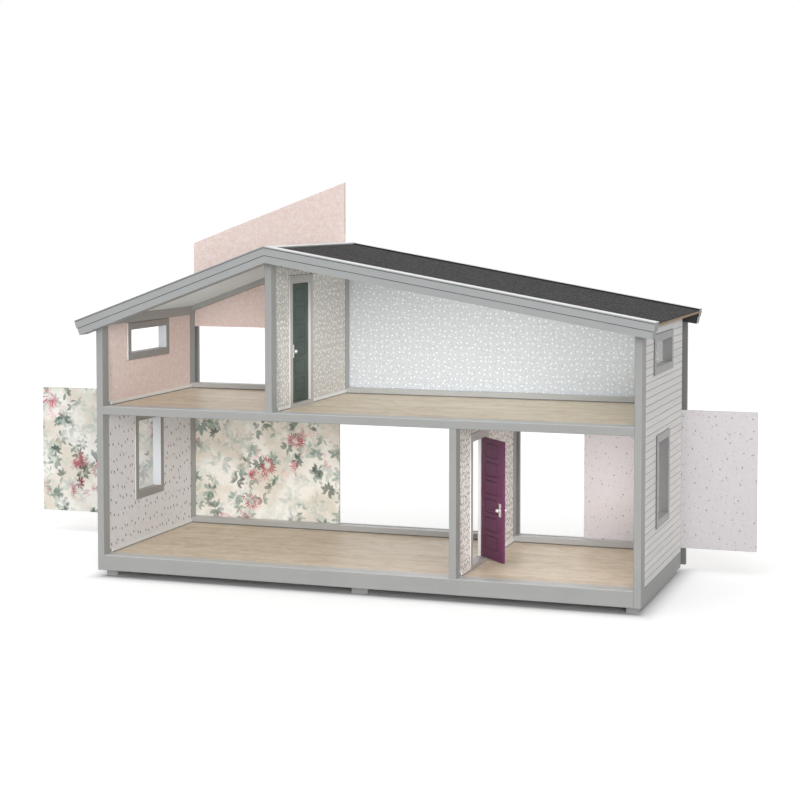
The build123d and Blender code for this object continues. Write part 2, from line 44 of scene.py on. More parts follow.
class Tree:
    """A node tree, built by short calls. A value is a number, a tuple or another node's output."""

    def __init__(self, tree):
        self.tree = tree

    def put(self, socket, value):
        if isinstance(value, bpy.types.NodeSocket):
            self.tree.links.new(value, socket)
        else:
            socket.default_value = value

    def node(self, kind, inputs=None, **settings):
        made = self.tree.nodes.new(kind)
        for name, value in settings.items():
            setattr(made, name, value)
        for name, value in (inputs or {}).items():
            self.put(made.inputs[name], value)
        return made

    def math(self, operation, *values, clamp=False):
        made = self.node("ShaderNodeMath", dict(enumerate(values)), operation=operation)
        made.use_clamp = clamp
        return made.outputs[0]

    def vector(self, operation, *values, output=0):
        made = self.node("ShaderNodeVectorMath", dict(enumerate(values)), operation=operation)
        return made.outputs[output]

    def parts(self, vector):
        return self.node("ShaderNodeSeparateXYZ", {0: vector}).outputs

    def join(self, x, y, z=0.0):
        return self.node("ShaderNodeCombineXYZ", {0: x, 1: y, 2: z}).outputs[0]

    def mix(self, factor, first, second, blend="MIX"):
        made = self.node("ShaderNodeMix", data_type="RGBA", blend_type=blend)
        self.put(made.inputs[0], factor)
        self.put(made.inputs[6], first)
        self.put(made.inputs[7], second)
        return made.outputs[2]

    def step(self, value, low, high, first=0.0, second=1.0):
        """first below low, second above high, and smooth between them."""
        made = self.node("ShaderNodeMapRange", interpolation_type="SMOOTHSTEP")
        for name, amount in zip(range(5), (value, low, high, first, second)):
            self.put(made.inputs[name], amount)
        return made.outputs[0]

    def noise(self, vector, scale, detail=3.0, rough=0.55, distort=0.0):
        inputs = {"Vector": vector, "Scale": scale, "Detail": detail, "Roughness": rough}
        inputs["Distortion"] = distort
        return self.node("ShaderNodeTexNoise", inputs).outputs["Fac"]

    def cells(self, vector, scale, random):
        inputs = {"Vector": vector, "Scale": scale, "Randomness": random}
        return self.node("ShaderNodeTexVoronoi", inputs, voronoi_dimensions="2D")

    def bump(self, height, distance, strength):
        inputs = {"Height": height, "Distance": distance, "Strength": strength}
        return self.node("ShaderNodeBump", inputs).outputs[0]


class Shader(Tree):
    def __init__(self, name):
        self.material = bpy.data.materials.new(name)
        self.material.use_nodes = True
        super().__init__(self.material.node_tree)
        self.tree.nodes.clear()
        self.place = self.node("ShaderNodeTexCoord").outputs["Object"]
        self.x, self.y, self.z = self.parts(self.place)
        self.normal = self.node("ShaderNodeNewGeometry").outputs["True Normal"]
        self.facing = self.parts(self.normal)

    def finish(self, colour, rough, normal=None, metallic=0.0, specular=0.5, glow=0.0):
        surface = self.node("ShaderNodeBsdfPrincipled")
        self.put(surface.inputs["Base Color"], colour)
        self.put(surface.inputs["Roughness"], rough)
        surface.inputs["Metallic"].default_value = metallic
        surface.inputs["Specular IOR Level"].default_value = specular
        surface.inputs["Emission Color"].default_value = (1.0, 1.0, 1.0, 1.0)
        self.put(surface.inputs["Emission Strength"], glow)
        if normal is not None:
            self.put(surface.inputs["Normal"], normal)
        self.node("ShaderNodeOutputMaterial", {"Surface": surface.outputs[0]})
        return self.material


def dress(material, *names):
    """Gives CAD nodes their material."""
    for name in names:
        slots = NODES[name].data.materials
        slots.clear()
        slots.append(material)


def beyond(shader, *spans):
    """How far a point lies outside a rectangle, or inside it if negative. Each span is a coordinate
    with the rectangle's low and high ends along it."""
    gaps = []
    for value, low, high in spans:
        off = shader.math("ABSOLUTE", shader.math("SUBTRACT", value, (low + high) / 2))
        gaps.append(shader.math("SUBTRACT", off, (high - low) / 2))
    return shader.math("MAXIMUM", *gaps)


def frame_shade(shader, name):
    """The mask of a thin painted shade in the joint round a frame that stands proud of a side wall or
    of a partition."""
    (_, *low), (_, *high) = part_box(name)
    away = beyond(shader, (shader.y, low[0], high[0]), (shader.z, low[1], high[1]))
    away = shader.math("ABSOLUTE", away)
    return shader.step(away, FRAME_SHADE * 0.4, FRAME_SHADE, 1.0, 0.0)


# ---------------------------------------------------------------- paint
def paint(name, colour, *tints, rough=0.42, grain=0.0):
    """Sprayed satin paint on wood: faint cloudiness, a fine orange-peel bump and, if asked, the
    upright grain of the wood showing through. Each tint takes the shader and its colour so far, and
    gives the new colour."""
    shader = Shader(name)
    cloud = shader.noise(shader.place, 28, 4)
    shade = shader.step(cloud, 0.3, 0.7, 0.98, 1.02)
    base = shader.mix(1.0, colour, shader.join(shade, shade, shade), "MULTIPLY")
    peel = shader.noise(shader.place, 1400, 2)
    height = shader.math("MULTIPLY", peel, 0.35)
    if grain:
        streaks = shader.noise(shader.vector("MULTIPLY", shader.place, (260, 260, 9)), 1.0, 4)
        height = shader.math("MULTIPLY_ADD", streaks, grain, height)
        dark = shader.step(streaks, 0.52, 0.72, 1.0, 0.93)
        base = shader.mix(1.0, base, shader.join(dark, dark, dark), "MULTIPLY")
    for tint in tints:
        base = tint(shader, base)
    wear = shader.step(cloud, 0.35, 0.75, rough - 0.05, rough + 0.08)
    return shader.finish(base, wear, shader.bump(height, 0.00012, 0.6))


def top_highlight(amount):
    """A painted highlight: paler faces and edges that look upwards."""
    def tint(shader, base):
        upward = shader.step(shader.facing[2], 0.4, 0.65, 0.0, amount)
        return shader.mix(upward, base, srgb(250, 250, 250))
    return tint


def returns(colour):
    """Another colour on the faces that look forwards or backwards."""
    def tint(shader, base):
        ends = shader.step(shader.math("ABSOLUTE", shader.facing[1]), 0.6, 0.8)
        return shader.mix(ends, base, colour)
    return tint


def fronts(colour):
    """Another colour on the faces that look forwards."""
    def tint(shader, base):
        return shader.mix(shader.step(shader.facing[1], -0.8, -0.6, 1.0, 0.0), base, colour)
    return tint


def foot_shade(shader, base):
    """A painted shade line just above the floor of each storey."""
    for storey in ("lower", "upper"):
        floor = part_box(f"{storey}_left_floor_sheet")[1][2]
        near = shader.math("ABSOLUTE", shader.math("SUBTRACT", shader.z, floor + FOOT_SHADE / 2))
        joint = shader.step(near, FOOT_SHADE * 0.4, FOOT_SHADE * 0.7, 0.75, 0.0)
        base = shader.mix(joint, base, srgb(52, 44, 38))
    return base


def groove_shade(leaf):
    """Painted shade in the grooves of a door leaf."""
    def tint(shader, base):
        dark = shader.math("MULTIPLY", groove_floor(shader, leaf), 0.95)
        return shader.mix(dark, base, srgb(16, 14, 16))
    return tint


def groove_floor(shader, name):
    """The bottoms of the grooves in both faces of a door leaf: they look the way that the faces do,
    but lie nearer to its middle plane."""
    mesh = NODES[name].data
    normal = max(mesh.polygons, key=lambda polygon: polygon.area).normal.copy()
    depths = [normal.dot(vertex.co) for vertex in mesh.vertices]
    middle = (min(depths) + max(depths)) / 2
    half = (max(depths) - min(depths)) / 2
    along = shader.vector("DOT_PRODUCT", shader.place, tuple(normal), output="Value")
    off = shader.math("ABSOLUTE", shader.math("SUBTRACT", along, middle))
    inside = shader.step(off, half - 0.3 * MM, half - 0.1 * MM, 1.0, 0.0)
    looks = shader.vector("DOT_PRODUCT", shader.normal, tuple(normal), output="Value")
    level = shader.step(shader.math("ABSOLUTE", looks), 0.6, 0.8)
    return shader.math("MULTIPLY", inside, level)


def siding():
    """Pale boards with a brownish line in each joint, faint grain and board-to-board variation,
    and a thin painted shade round the wall and its windows."""
    shader = Shader("siding_paint")
    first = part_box("right_base_rail")[1][2]
    level = shader.math("DIVIDE", shader.math("SUBTRACT", shader.z, first), SIDING_PITCH)
    board = shader.math("FLOOR", level)
    within = shader.math("FRACT", level)
    edge = shader.math("MINIMUM", within, shader.math("SUBTRACT", 1.0, within))
    joint = shader.step(edge, 0.025, 0.065, 1.0, 0.0)
    tone = shader.node("ShaderNodeTexWhiteNoise", {"Vector": shader.join(board, 3.0)}).outputs[0]
    grain = shader.noise(shader.vector("MULTIPLY", shader.place, (1, 14, 420)), 1.0, 4)
    base = shader.mix(tone, srgb(228, 226, 224), srgb(235, 233, 231))
    base = shader.mix(shader.step(grain, 0.45, 0.7, 0.0, 0.35), base, srgb(212, 210, 208))
    base = shader.mix(shader.math("MULTIPLY", joint, 0.75), base, srgb(150, 138, 124))
    for name in ("lower_right_window", "upper_right_window", "right_wall"):
        base = shader.mix(shader.math("MULTIPLY", frame_shade(shader, name), 0.75), base, srgb(50, 47, 44))
    height = shader.math("MULTIPLY", grain, 0.4)
    return shader.finish(base, 0.55, shader.bump(height, 0.0001, 0.6))


def bare_board(name, face, edge, axis):
    """A painted or papered board whose sawn edges show bare brown fibreboard. axis is the number
    of the axis that its faces look along."""
    shader = Shader(name)
    away = shader.math("ABSOLUTE", shader.facing[axis])
    fibre = shader.noise(shader.place, 900, 5)
    brown = shader.mix(fibre, edge, srgb(120, 92, 66))
    speck = shader.step(shader.noise(shader.place, 60, 4), 0.35, 0.7, 0.96, 1.0)
    white = shader.mix(1.0, face, shader.join(speck, speck, speck), "MULTIPLY")
    base = shader.mix(shader.step(away, 0.6, 0.8), brown, white)
    return shader.finish(base, 0.6, shader.bump(fibre, 0.0001, 0.5))


# ---------------------------------------------------------------- papers
MOTIF_SOFTNESS = 0.35  # share of a motif's radius over which its edge fades


def backed(shader, print_colour):
    """The print on the front of a thin board, with bare fibreboard on its back and edges."""
    toward = shader.math("MULTIPLY", shader.facing[1], -1.0)
    fibre = shader.noise(shader.place, 700, 5)
    plain = shader.mix(fibre, srgb(176, 158, 136), srgb(140, 118, 94))
    return shader.mix(shader.step(toward, 0.6, 0.8), plain, print_colour)


def mottled(shader, flat, light, deep):
    """A fine mottled ground, as a damask print looks from a distance."""
    broad = shader.noise(flat, 170, 5, 0.7, 0.8)
    fine = shader.noise(flat, 640, 3, 0.6)
    blend = shader.math("MULTIPLY_ADD", fine, 0.6, shader.math("MULTIPLY", broad, 0.6))
    return shader.mix(shader.step(blend, 0.46, 0.74), light, deep)


def motifs(shader, flat, pitch, size, stretch, random):
    """Small motifs on a jittered lattice. pitch and size are in metres, and stretch is how much
    taller than wide each motif is. Gives its mask and a number that differs between motifs."""
    tall = shader.vector("MULTIPLY", flat, (1.0, 1.0 / stretch, 1.0))
    cell = shader.cells(tall, 1 / pitch, random)
    reach = size / pitch / 2
    low, high = reach * (1 - MOTIF_SOFTNESS), reach * (1 + MOTIF_SOFTNESS)
    mask = shader.step(cell.outputs["Distance"], low, high, 1.0, 0.0)
    pick = shader.parts(cell.outputs["Color"])[0]
    return mask, pick


def wall_paper(name, draw, room):
    """A paper on a room's side wall and partition: the print lies in the plane of Y and Z, with a
    thin painted shade round the window and door frames and in the rear corner."""
    shader = Shader(name)
    flat = shader.join(shader.y, shader.z)
    colour = draw(shader, flat)
    storey = room.split("_")[0]
    outer_side = shader.step(shader.math("ABSOLUTE", shader.x), SIDE_WALLS, SIDE_WALLS + 10 * MM)
    inner_side = shader.math("SUBTRACT", 1.0, outer_side)
    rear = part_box(f"{room}_wallpaper")[1][1]
    shades = (
        shader.math("MULTIPLY", frame_shade(shader, f"{room}_window"), outer_side),
        shader.math("MULTIPLY", frame_shade(shader, f"{storey}_door_frame"), inner_side),
        shader.step(shader.y, rear - 2.2 * MM, rear - 1.4 * MM),
    )
    for shade in shades:
        colour = shader.mix(shader.math("MULTIPLY", shade, 0.6), colour, srgb(50, 44, 40))
    rough = shader.noise(shader.place, 1600, 2)
    return shader.finish(colour, 0.72, shader.bump(rough, 0.00006, 0.5), specular=0.3)


def board_print(name, draw):
    """A print on the front of a sliding back board: it lies in the plane of X and Z."""
    shader = Shader(name)
    flat = shader.join(shader.x, shader.z)
    colour = backed(shader, draw(shader, flat))
    rough = shader.noise(shader.place, 1600, 2)
    return shader.finish(colour, 0.72, shader.bump(rough, 0.00006, 0.5), specular=0.3)


def draw_pink(shader, flat):
    return mottled(shader, flat, srgb(243, 228, 223), srgb(229, 205, 197))


def draw_sprigs(shader, flat):
    """Small leaning leaves in slate and brown, in loose rows on a mottled white."""
    colour = mottled(shader, flat, srgb(236, 235, 237), srgb(226, 224, 226))
    for pitch, size, shift, strength in ((10.5, 2.3, 0.0, 0.9), (15.0, 1.7, 5.3, 0.45)):
        moved = shader.vector("ADD", tilted(shader, flat), (shift * MM, shift * MM, 0.0))
        mask, pick = motifs(shader, moved, pitch * MM, size * MM, 1.7, 0.62)
        ink = shader.mix(shader.step(pick, 0.4, 0.6), srgb(78, 82, 92), srgb(150, 122, 96))
        colour = shader.mix(shader.math("MULTIPLY", mask, strength), colour, ink)
    return colour


def tilted(shader, flat, slant=0.35):
    """The same plane, sheared so that upright motifs lean."""
    across, up, _ = shader.parts(flat)
    return shader.join(shader.math("MULTIPLY_ADD", up, slant, across), up)


def draw_taupe(shader, flat):
    """Cream and white dots of two sizes on a grained taupe."""
    grain = shader.noise(flat, 900, 3, 0.7)
    colour = shader.mix(shader.step(grain, 0.35, 0.65), srgb(184, 180, 177), srgb(222, 219, 216))
    for pitch, size, shift, random in ((7.2, 2.6, 0.0, 0.7), (5.7, 1.8, 3.7, 0.9)):
        moved = shader.vector("ADD", flat, (shift * MM, shift * MM, 0.0))
        mask, pick = motifs(shader, moved, pitch * MM, size * MM, 1.25, random)
        dot = shader.mix(shader.step(pick, 0.4, 0.6), srgb(255, 254, 252), srgb(248, 243, 232))
        colour = shader.mix(shader.math("MULTIPLY", mask, 0.9), colour, dot)
    return colour


def draw_dotted(shader, flat):
    """White dots in loose rows on pale grey, with a fine pale grain between them."""
    grain = shader.noise(flat, 560, 3, 0.7, 0.8)
    ground = shader.mix(shader.step(grain, 0.38, 0.62), srgb(188, 191, 194), srgb(212, 215, 218))
    for pitch, size, shift, strength in ((8.2, 2.4, 0.0, 0.62), (10.1, 1.6, 3.7, 0.35)):
        moved = shader.vector("ADD", flat, (shift * MM, shift * MM, 0.0))
        mask, _ = motifs(shader, moved, pitch * MM, size * MM, 1.0, 0.62)
        ground = shader.mix(shader.math("MULTIPLY", mask, strength), ground, srgb(250, 252, 253))
    return ground


def draw_leaflets(shader, flat):
    """Dense short dark strokes, leaning both ways, on off-white."""
    colour = mottled(shader, flat, srgb(244, 240, 237), srgb(232, 227, 223))
    for slant, shift in ((0.45, 0.0), (-0.3, 2.3)):
        moved = shader.vector("ADD", tilted(shader, flat, slant), (shift * MM, 0.0, 0.0))
        mask, pick = motifs(shader, moved, 4.3 * MM, 1.5 * MM, 2.0, 0.75)
        ink = shader.mix(pick, srgb(70, 64, 60), srgb(138, 128, 120))
        colour = shader.mix(shader.math("MULTIPLY", mask, 0.85), colour, ink)
    return colour


def draw_specks(shader, flat):
    """Scattered fine specks in two browns on a pale, faintly lilac grey."""
    colour = mottled(shader, flat, srgb(214, 209, 211), srgb(207, 202, 204))
    for pitch, size, shift, strength in ((15.0, 1.7, 0.0, 0.75), (11.0, 1.2, 4.1, 0.5)):
        moved = shader.vector("ADD", flat, (shift * MM, shift * MM, 0.0))
        mask, pick = motifs(shader, moved, pitch * MM, size * MM, 1.2, 0.95)
        ink = shader.mix(shader.step(pick, 0.4, 0.7), srgb(104, 84, 74), srgb(190, 150, 116))
        colour = shader.mix(shader.math("MULTIPLY", mask, strength), colour, ink)
    return colour


# ---------------------------------------------------------------- floral print
JITTER = 0.7  # how far a rosette strays from its lattice point, as a share of its cell


def petals(shader, flat, pitch, shift, size, count, width, hollow, gaps):
    """Rosettes of leaf-shaped petals, one in each cell of a jittered lattice. pitch and size are in
    metres, and width and hollow are shares of size. Each rosette has its own turn and size, and its
    petals differ in length; gaps is the share that is left out. Gives the mask, and a number that
    differs from rosette to rosette."""
    moved = shader.vector("ADD", flat, (*shift, 0.0))
    cell = shader.cells(moved, 1 / pitch, JITTER)
    across, up, _ = shader.parts(shader.vector("SUBTRACT", moved, cell.outputs["Position"]))
    pick = shader.parts(cell.outputs["Color"])
    reach = shader.vector("LENGTH", shader.join(across, up), output="Value")
    angle = shader.math("DIVIDE", shader.math("ARCTAN2", up, across), math.tau)
    turn = shader.math("MULTIPLY", shader.math("ADD", angle, pick[0]), count)
    petal = shader.join(shader.math("FLOORED_MODULO", shader.math("FLOOR", turn), count), pick[1])
    chance = shader.node("ShaderNodeTexWhiteNoise", {"Vector": petal}).outputs[0]
    full = shader.math("MULTIPLY", size, shader.math("MULTIPLY_ADD", pick[1], 0.35, 0.65))
    length = shader.math("MULTIPLY", full, shader.math("MULTIPLY_ADD", chance, 0.45, 0.55))
    foot = shader.math("MULTIPLY", full, hollow)
    share = shader.math("DIVIDE", shader.math("SUBTRACT", reach, foot), length, clamp=True)
    taper = shader.math("SUBTRACT", 1.0, share)
    swell = shader.math("MULTIPLY", shader.math("POWER", share, 0.7), taper)
    half = shader.math("MULTIPLY", swell, shader.math("MULTIPLY", full, 3.0 * width))
    aside = shader.math("ABSOLUTE", shader.math("SUBTRACT", shader.math("FRACT", turn), 0.5))
    off_axis = shader.math("MULTIPLY", reach, shader.math("MULTIPLY", aside, math.tau / count))
    mask = shader.step(shader.math("SUBTRACT", half, off_axis), 0.0, 0.9 * MM)
    kept = shader.step(chance, gaps, gaps + 0.02)
    return shader.math("MULTIPLY", mask, kept), pick[2]


def draw_floral(shader, flat):
    """A generic print of leaf sprays and open daisy-like blooms in soft washes of colour. Dark
    leaves keep to groves and blooms to beds; the pale sprays behind them and the small sprigs over
    them are everywhere."""
    drift = shader.node("ShaderNodeTexNoise", {"Vector": flat, "Scale": 70.0, "Detail": 4.0})
    warp = shader.vector("SUBTRACT", drift.outputs["Color"], (0.5, 0.5, 0.5))
    flat = shader.vector("ADD", flat, shader.vector("MULTIPLY", warp, (0.008, 0.008, 0.0)))
    worn = shader.step(shader.noise(flat, 60, 4, 0.6), 0.34, 0.56, 0.25, 1.0)
    stain = shader.noise(flat, 17, 3, 0.6)
    fleck = shader.noise(flat, 480, 3, 0.65)
    ground = shader.mix(shader.step(stain, 0.38, 0.6), srgb(224, 217, 204), srgb(243, 241, 235))
    ground = shader.mix(shader.step(fleck, 0.5, 0.75, 0.0, 0.35), ground, srgb(196, 182, 164))

    groves = shader.step(shader.noise(flat, 13, 2), 0.42, 0.5, 0.12, 1.0)
    beds = shader.step(shader.noise(shader.vector("ADD", flat, (3.0, 5.0, 0.0)), 11, 2), 0.53, 0.57)
    layers = (
        # where, pitch, shift and size in mm, petals, width, hollow, gaps, strength, two inks
        (1.0, 33, (3, 11), 19, 8, 0.21, 0.10, 0.25, 0.35, (204, 214, 206), (182, 196, 190)),
        (1.0, 47, (31, 7), 22, 9, 0.20, 0.12, 0.30, 0.45, (174, 192, 186), (142, 164, 158)),
        (groves, 31, (12, 38), 17, 8, 0.24, 0.06, 0.30, 0.75, (142, 164, 156), (98, 124, 116)),
        (groves, 37, (25, 30), 14, 7, 0.24, 0.08, 0.35, 0.7, (126, 146, 132), (86, 106, 92)),
        (groves, 41, (41, 17), 16, 9, 0.22, 0.06, 0.30, 0.8, (102, 120, 108), (62, 78, 68)),
        (beds, 35, (19, 50), 19, 19, 0.075, 0.24, 0.05, 0.85, (240, 180, 184), (214, 120, 136)),
        (beds, 39, (44, 65), 19, 20, 0.085, 0.18, 0.08, 0.9, (206, 92, 112), (164, 40, 62)),
        (beds, 43, (24, 41), 12, 9, 0.17, 0.06, 0.15, 0.9, (186, 64, 86), (136, 28, 48)),
        (1.0, 23, (9, 17), 4, 5, 0.22, 0.08, 0.30, 0.5, (160, 178, 164), (200, 130, 140)),
    )
    colour = ground
    for where, pitch, shift, size, count, width, hollow, gaps, strength, ink, deep in layers:
        place = tuple(value * MM for value in shift)
        mask, pick = petals(shader, flat, pitch * MM, place, size * MM, count, width, hollow, gaps)
        tone = shader.math("MULTIPLY_ADD", fleck, 0.6, shader.math("MULTIPLY", pick, 0.4))
        tone = shader.mix(shader.step(tone, 0.3, 0.7), srgb(*ink), srgb(*deep))
        amount = shader.math("MULTIPLY", shader.math("MULTIPLY", mask, worn), strength)
        amount = shader.math("MULTIPLY", amount, where)
        colour = shader.mix(amount, colour, tone)
    return colour


# ---------------------------------------------------------------- roof and floors
def shingles():
    """Dark printed roofing: short tabs in narrow courses down the slope, joints staggered from course
    to course, each tab with its own tone, and black painted shade along the board slot."""
    shader = Shader("shingle_print")
    exposure, width = 3.1 * MM, 8.4 * MM
    course = shader.math("DIVIDE", shader.x, exposure)
    line = shader.math("FLOOR", course)
    shift = shader.math("MULTIPLY", shader.math("PINGPONG", line, 1.0), 0.5)
    run = shader.math("ADD", shader.math("DIVIDE", shader.y, width), shift)
    tab = shader.join(line, shader.math("FLOOR", run))
    tone = shader.node("ShaderNodeTexWhiteNoise", {"Vector": tab}).outputs[0]
    down = shader.math("FRACT", course)
    aside = shader.math("ABSOLUTE", shader.math("SUBTRACT", shader.math("FRACT", run), 0.5))
    middle = shader.math("MULTIPLY", shader.step(down, 0.2, 0.5),
                         shader.step(down, 0.8, 0.95, 1.0, 0.0))
    face = shader.math("MULTIPLY", middle, shader.step(aside, 0.28, 0.44, 1.0, 0.0))
    grit = shader.noise(shader.place, 1500, 3, 0.7)
    pale = shader.mix(tone, srgb(76, 75, 76), srgb(112, 110, 109))
    pale = shader.mix(shader.step(grit, 0.45, 0.7, 0.0, 0.5), pale, srgb(52, 51, 51))
    base = shader.mix(face, srgb(20, 19, 20), pale)
    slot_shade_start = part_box("right_shingle_sheet")[1][1] - SLOT_SHADE
    base = shader.mix(shader.step(shader.y, slot_shade_start, slot_shade_start + 1.0 * MM), base, srgb(8, 8, 8))
    return shader.finish(base, 0.85, shader.bump(face, 0.0001, 0.6), specular=0.2)


def planks():
    """Printed oak boards that run along the rooms, with staggered butt joints and fine grain."""
    shader = Shader("floor_print")
    width, length = 13.5 * MM, 150 * MM
    row = shader.math("DIVIDE", shader.y, width)
    line = shader.math("FLOOR", row)
    shift = shader.node("ShaderNodeTexWhiteNoise", {"Vector": shader.join(line, 7.0)}).outputs[0]
    shift = shader.math("MULTIPLY", shift, 4.0)
    run = shader.math("ADD", shader.math("DIVIDE", shader.x, length), shift)
    board = shader.join(line, shader.math("FLOOR", run))
    tone = shader.node("ShaderNodeTexWhiteNoise", {"Vector": board}).outputs[0]
    grain = shader.noise(shader.vector("MULTIPLY", shader.place, (16, 330, 1)), 1.0, 5, 0.62, 0.8)
    figure = shader.noise(shader.vector("MULTIPLY", shader.place, (7, 75, 1)), 1.0, 4, 0.6, 1.2)
    base = shader.mix(tone, srgb(244, 230, 208), srgb(232, 216, 192))
    base = shader.mix(shader.step(figure, 0.42, 0.7, 0.0, 0.4), base, srgb(204, 182, 154))
    patch = shader.noise(shader.vector("MULTIPLY", shader.place, (38, 62, 1)), 1.0, 5, 0.62, 1.0)
    base = shader.mix(shader.step(patch, 0.46, 0.64, 0.0, 0.45), base, srgb(204, 180, 150))
    base = shader.mix(shader.step(patch, 0.30, 0.44, 0.4, 0.0), base, srgb(252, 242, 226))
    base = shader.mix(shader.step(grain, 0.45, 0.75, 0.0, 0.5), base, srgb(186, 160, 130))
    across = shader.math("FRACT", row)
    seam = shader.math("MINIMUM", across, shader.math("SUBTRACT", 1.0, across))
    butt = shader.math("FRACT", run)
    butt = shader.math("MINIMUM", butt, shader.math("SUBTRACT", 1.0, butt))
    joint = shader.math("MAXIMUM", shader.step(seam, 0.01, 0.03, 1.0, 0.0),
                        shader.step(butt, 0.0008, 0.0025, 1.0, 0.0))
    base = shader.mix(shader.math("MULTIPLY", joint, 0.35), base, srgb(150, 126, 100))
    return shader.finish(base, 0.45, shader.bump(grain, 0.00005, 0.5))


# ---------------------------------------------------------------- bargeboards
SLOT_FACE, BARGE_FACE = (corner[1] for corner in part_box("rear_left_bargeboard"))
BARGE_SKIN = BARGE_FACE - 1.0 * MM  # where the groove floors lie


def barge_paint():
    """Satin paint. The cap strip's upward faces are pale, partly its light paint and partly a painted
    highlight; the grooves hold painted shade, and the inner face towards the board slot is black,
    painted shade of the slot."""
    shader = Shader("bargeboard_paint")
    cloud = shader.noise(shader.place, 30, 4)
    base = shader.mix(cloud, srgb(160, 162, 163), srgb(168, 170, 170))
    # pale upward faces: the cap's light paint and a painted highlight
    base = shader.mix(shader.step(shader.facing[2], 0.5, 0.7), base, srgb(238, 239, 239))
    # painted shade in the grooves
    skin = shader.math("SUBTRACT", shader.math("ABSOLUTE", shader.y), BARGE_SKIN)
    groove = shader.step(shader.math("ABSOLUTE", skin), 0.1 * MM, 0.2 * MM, 1.0, 0.0)
    base = shader.mix(groove, base, srgb(84, 85, 86))
    # black inner face by the board slot: painted shade of the slot
    inside = shader.step(shader.facing[1], -0.8, -0.6, 1.0, 0.0)
    off_slot = shader.math("ABSOLUTE", shader.math("SUBTRACT", shader.y, SLOT_FACE))
    in_slot = shader.step(off_slot, 0.7 * MM, 1.0 * MM, 1.0, 0.0)
    base = shader.mix(shader.math("MULTIPLY", inside, in_slot), base, srgb(22, 22, 22))
    peel = shader.noise(shader.place, 1400, 2)
    return shader.finish(base, 0.42, shader.bump(peel, 0.00006, 0.5))


def metal(name, colour, rough, metallic=1.0):
    """Brushed plated metal with faint smears in its gloss."""
    shader = Shader(name)
    smear = shader.noise(shader.place, 300, 3)
    gloss = shader.step(smear, 0.3, 0.7, rough - 0.06, rough + 0.08)
    brushed = shader.noise(shader.vector("MULTIPLY", shader.place, (900, 900, 5000)), 1.0, 2)
    return shader.finish(colour, gloss, shader.bump(brushed, 0.00002, 0.4), metallic)


# ---------------------------------------------------------------- what each node wears
# Upward faces of the painted rails, posts, frame and skirtings get a painted highlight.
GREY = srgb(166, 167, 165)
dress(paint("grey_paint", GREY, top_highlight(0.35)), "front_base_rail", "left_base_rail", "right_base_rail",
      "base_runners", "front_left_post", "front_right_post", "rear_left_post", "rear_right_post",
      "front_mid_rail", "lower_partition_front_post", "lower_partition_rear_post",
      "upper_partition_front_post", "upper_partition_rear_post", "rear_gable_rails",
      "wall_top_rails")
# The darker front faces of the rear outer frame are painted shade, of the channel beside the side walls'
# rear ends.
dress(paint("outer_frame_paint", GREY, top_highlight(0.35), fronts(srgb(116, 116, 116))),
      "rear_outer_frame")
# The rear rails and skirtings get a painted shade line just above each floor.
dress(paint("rear_rail_paint", srgb(168, 168, 166), top_highlight(0.35), foot_shade),
      "rear_base_rail", "rear_mid_rail")
dress(paint("skirting_paint", srgb(238, 238, 237), top_highlight(0.5), foot_shade), "skirtings")
dress(paint("spacer_paint", srgb(40, 40, 40)), "rear_spacers")
dress(barge_paint(), "front_left_bargeboard", "front_right_bargeboard", "rear_left_bargeboard",
      "rear_right_bargeboard", "ridge_strip")
dress(siding(), "left_wall", "right_wall")
dress(paint("left_window_paint", srgb(150, 147, 143), returns(srgb(214, 217, 221))),
      "lower_left_window", "upper_left_window")
# The dark faces that look forwards and backwards on the right windows are painted shade: the reveals and
# the frames' proud front edges.
dress(paint("right_window_paint", srgb(176, 176, 175), returns(srgb(112, 111, 111))),
      "lower_right_window", "upper_right_window")
dress(paint("door_frame_paint", srgb(184, 180, 178), returns(srgb(206, 204, 203))),
      "lower_door_frame", "upper_door_frame")
dress(bare_board("board_wood", srgb(236, 234, 231), srgb(176, 146, 112), 2), "base_board",
      "upper_floor_board")
dress(bare_board("partition_wood", srgb(236, 234, 231), srgb(176, 146, 112), 0),
      "lower_partition_panel", "upper_partition_panel")
dress(bare_board("roof_board", srgb(240, 251, 255), srgb(196, 168, 138), 2), "left_roof_panel",
      "right_roof_panel")
dress(shingles(), "left_shingle_sheet", "right_shingle_sheet")
dress(planks(), "lower_left_floor_sheet", "lower_right_floor_sheet", "upper_left_floor_sheet",
      "upper_right_floor_sheet")
dress(wall_paper("pink_paper", draw_pink, "upper_left"), "upper_left_wallpaper")
dress(wall_paper("sprig_paper", draw_sprigs, "lower_left"), "lower_left_wallpaper")
dress(wall_paper("taupe_paper", draw_taupe, "upper_right"), "upper_right_wallpaper")
dress(wall_paper("leaf_paper", draw_leaflets, "lower_right"), "lower_right_wallpaper")
dress(board_print("floral_print", draw_floral), "lower_left_board")
dress(board_print("speckle_print", draw_specks), "lower_right_board")
dress(board_print("pink_print", draw_pink), "upper_left_board")
dress(board_print("dotted_print", draw_dotted), "upper_right_board")
for name, colour, leaf in (("purple_paint", srgb(86, 36, 70), "lower_door_leaf"),
                           ("green_paint", srgb(52, 71, 64), "upper_door_leaf")):
    dress(paint(name, colour, groove_shade(leaf), rough=0.45, grain=0.5), leaf)
dress(metal("nickel", srgb(236, 236, 234), 0.3, 0.75), "lower_door_knobs", "upper_door_knobs")
dress(metal("steel", srgb(190, 190, 188), 0.36), "lower_door_pins", "upper_door_pins",
      "rear_frame_screws")


